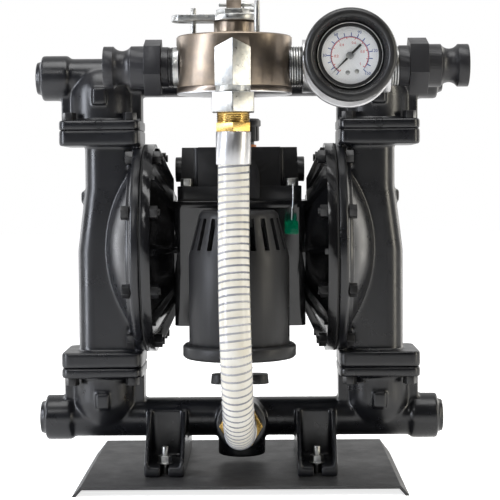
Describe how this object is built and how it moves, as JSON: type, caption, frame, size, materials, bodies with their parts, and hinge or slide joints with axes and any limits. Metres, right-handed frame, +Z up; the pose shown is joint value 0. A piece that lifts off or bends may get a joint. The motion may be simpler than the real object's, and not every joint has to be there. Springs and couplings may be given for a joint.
{
  "type": "transfer pump",
  "caption": "Air-operated double-diaphragm transfer pump on a base plate, with selector valve, camlock ports, gauge, muffler and clear return hose.",
  "frame": {"origin": "on the surface the pump stands on, at the centre of its base plate", "axes": "+Z up, +X to the pump's right seen from the front, the gauge and muffler face -Y"},
  "size_m": [0.3864, 0.3057, 0.4272],
  "materials": {
    "black_coated_metal": "semi-gloss powder coat over castings",
    "housing_black": "gloss black casting",
    "base_black": "fine textured powder coat",
    "muffler_plastic": "matte moulded",
    "cover_plastic": "matte moulded",
    "brown_anodised": "satin brown anodised",
    "zinc_plated": "bright zinc plate",
    "black_steel": "black oxide",
    "steel": "machined",
    "brass": "machined",
    "aluminium": "turned satin",
    "camlock_plastic": "glass-filled moulding",
    "clear_hose": "clear vinyl with steel wire",
    "boot_rubber": "satin moulded rubber",
    "elastomer": "moulded rubber",
    "ptfe": "machined",
    "dial_white": "printed dial",
    "needle_black": "painted",
    "lens": "clear",
    "orange_plastic": "moulded",
    "regulator_black": "moulded",
    "green_seal": "translucent moulded"
  },
  "bodies": {
    "root": {"base_plate": "base_black", "lower_manifold": "black_coated_metal", "upper_manifold": "black_coated_metal", "left_fluid_cap": "black_coated_metal", "right_fluid_cap": "black_coated_metal", "center_housing": "housing_black", "cover_gasket": "elastomer", "air_valve_cover": "cover_plastic", "valve_end_plugs": "black_steel", "cover_bolts": "zinc_plated", "left_cap_bolts": "black_steel", "right_cap_bolts": "black_steel", "upper_manifold_bolts": "black_steel", "lower_manifold_bolts": "black_steel", "foot_bolts": "zinc_plated", "muffler_canister": "muffler_plastic", "muffler_base": "muffler_plastic", "left_diaphragm": "elastomer", "right_diaphragm": "elastomer", "ball_seats": "steel", "seat_seals": "elastomer", "selector_body": "brown_anodised", "selector_bottom_plate": "aluminium", "selector_gland": "brown_anodised", "stop_pins": "zinc_plated", "left_camlock": "camlock_plastic", "right_camlock": "camlock_plastic", "pipe_nipples": "black_steel", "gauge_tee": "aluminium", "gauge_isolator": "aluminium", "gauge_case": "black_steel", "gauge_dial": "dial_white", "gauge_lens": "lens", "gauge_boot": "boot_rubber", "elbow": "zinc_plated", "swivel_nut": "zinc_plated", "upper_hose_fitting": "brass", "lower_hose_fitting": "brass", "hose_ferrules": "aluminium", "hose": "clear_hose", "regulator_body": "regulator_black", "regulator_ring": "orange_plastic", "seal_tag": "green_seal", "seal_wire": "steel"},
    "rod": {"diaphragm_rod": "steel", "left_diaphragm_plates": "aluminium", "right_diaphragm_plates": "aluminium"},
    "lower_left_check": {"lower_left_ball": "ptfe"},
    "lower_right_check": {"lower_right_ball": "ptfe"},
    "upper_left_check": {"upper_left_ball": "ptfe"},
    "upper_right_check": {"upper_right_ball": "ptfe"},
    "spool": {"valve_spool": "aluminium"},
    "selector": {"selector_rotor": "brass", "selector_stem": "brown_anodised", "lever_plate": "zinc_plated", "lever_nut": "zinc_plated", "hitch_pin": "zinc_plated"},
    "needle": {"gauge_needle": "needle_black"},
    "knob": {"regulator_knob": "regulator_black"},
    "wing_knob": {"muffler_knob": "muffler_plastic"}
  },
  "joints": [
    {"name": "rod_slide", "type": "slide", "parent": "root", "child": "rod", "axis": [1, 0, 0], "range_m": [-0.008, 0.008], "deforming": ["left_diaphragm", "right_diaphragm"]},
    {"name": "lower_left_ball_lift", "type": "slide", "parent": "root", "child": "lower_left_check", "axis": [0, 0, 1], "range_m": [0, 0.005]},
    {"name": "lower_right_ball_lift", "type": "slide", "parent": "root", "child": "lower_right_check", "axis": [0, 0, 1], "range_m": [0, 0.005]},
    {"name": "upper_left_ball_lift", "type": "slide", "parent": "root", "child": "upper_left_check", "axis": [0, 0, 1], "range_m": [0, 0.005]},
    {"name": "upper_right_ball_lift", "type": "slide", "parent": "root", "child": "upper_right_check", "axis": [0, 0, 1], "range_m": [0, 0.005]},
    {"name": "spool_slide", "type": "slide", "parent": "root", "child": "spool", "axis": [1, 0, 0], "range_m": [-0.006, 0.006]},
    {"name": "selector_turn", "type": "hinge", "parent": "root", "child": "selector", "pos_m": [-0.003, -0.088, 0.37], "axis": [0, 0, 1], "range_deg": [0, 90]},
    {"name": "needle_turn", "type": "hinge", "parent": "root", "child": "needle", "pos_m": [0.0935, -0.15, 0.374], "axis": [0, 1, 0], "range_deg": [0, 270]},
    {"name": "regulator_turn", "type": "hinge", "parent": "root", "child": "knob", "pos_m": [0, 0.09, 0.32], "axis": [0, 0, 1], "continuous": true},
    {"name": "wing_knob_turn", "type": "hinge", "parent": "root", "child": "wing_knob", "pos_m": [0, -0.1, 0.1], "axis": [0, 0, 1], "continuous": true}
  ]
}
